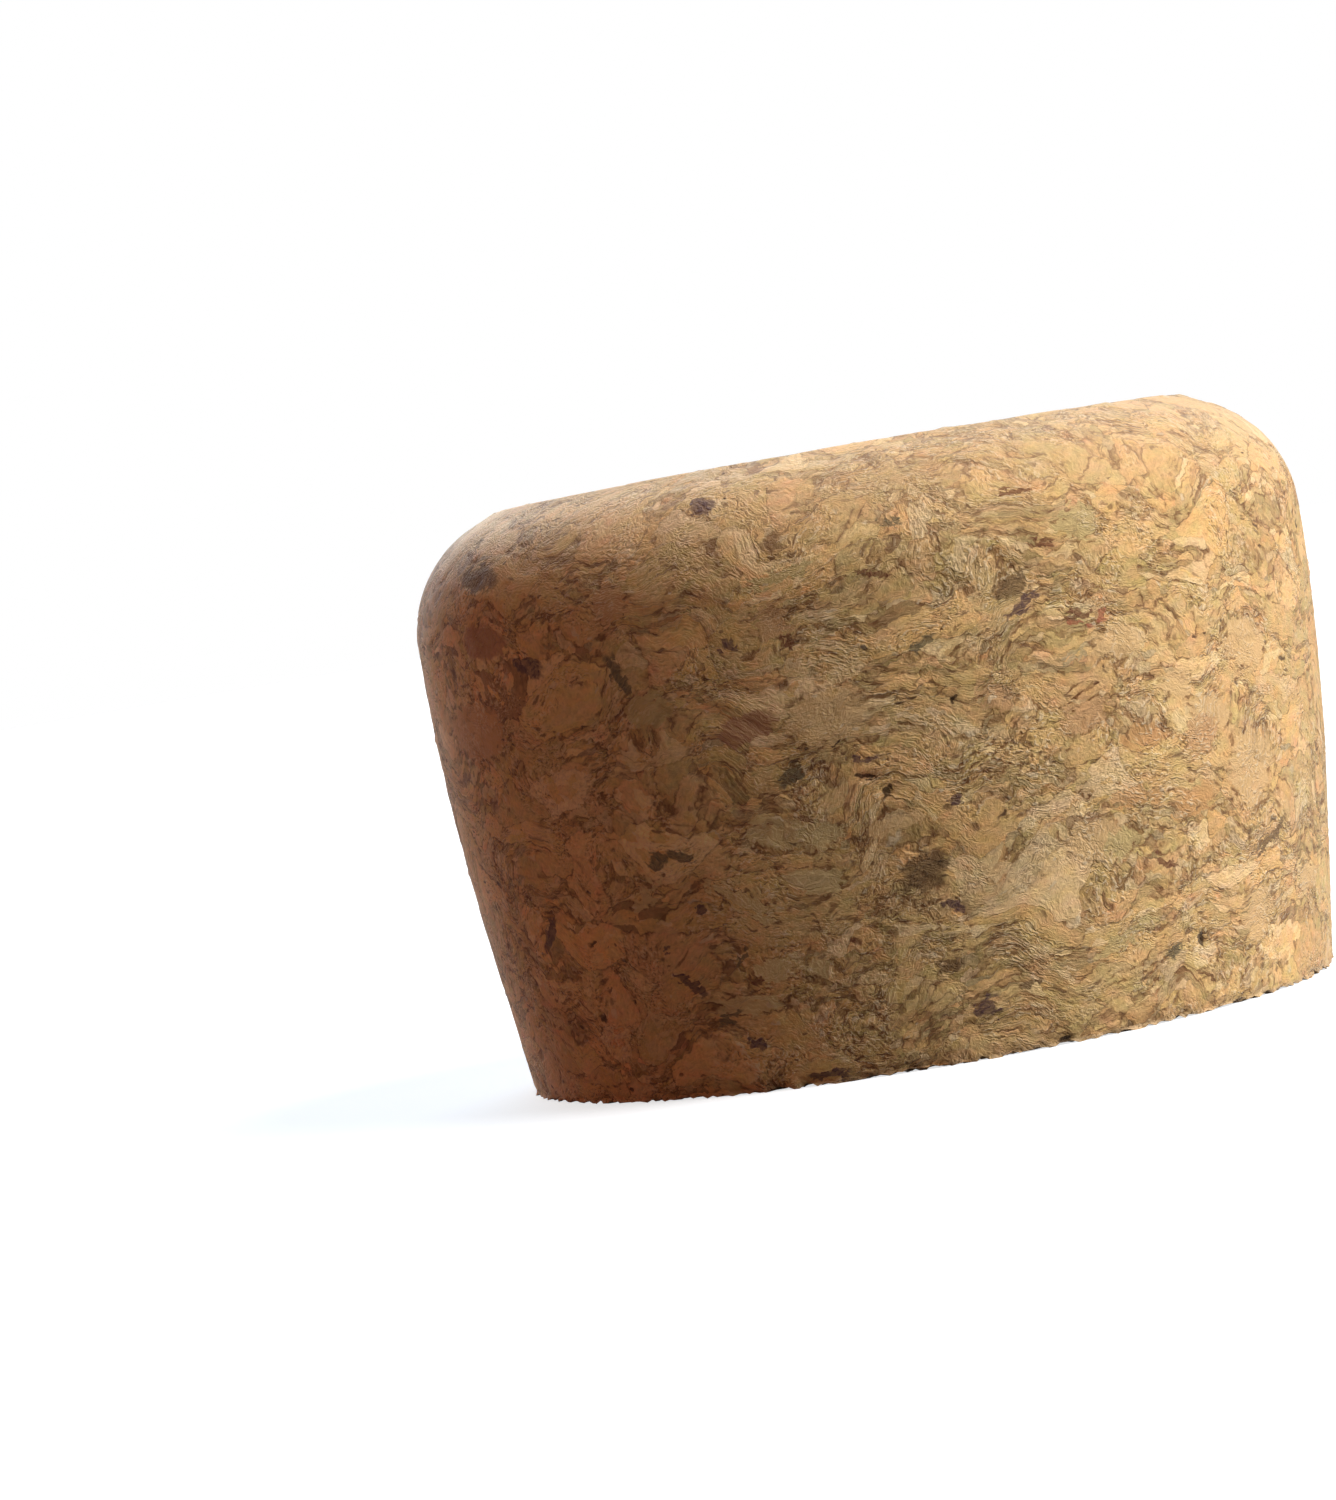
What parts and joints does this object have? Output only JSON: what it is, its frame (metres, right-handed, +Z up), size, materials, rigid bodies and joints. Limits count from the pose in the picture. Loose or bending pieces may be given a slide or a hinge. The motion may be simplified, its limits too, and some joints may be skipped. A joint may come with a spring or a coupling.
{
  "type": "cork stopper",
  "caption": "Solid tapered plug stopper of ground cork, with a rounded shoulder and a flat face at each end.",
  "frame": {"origin": "centre of the flat face at the narrow end, on which the stopper stands", "axes": "+Z up the stopper's axis of revolution, from the narrow end to the wide end; +X and +Y are any two perpendicular radii"},
  "size_m": [0.06, 0.06, 0.039],
  "materials": {
    "cork": "matt ground cork, sanded, with pressed chips, fine crumbs and small open pits"
  },
  "bodies": {
    "root": {"cork_stopper": "cork"}
  },
  "joints": []
}
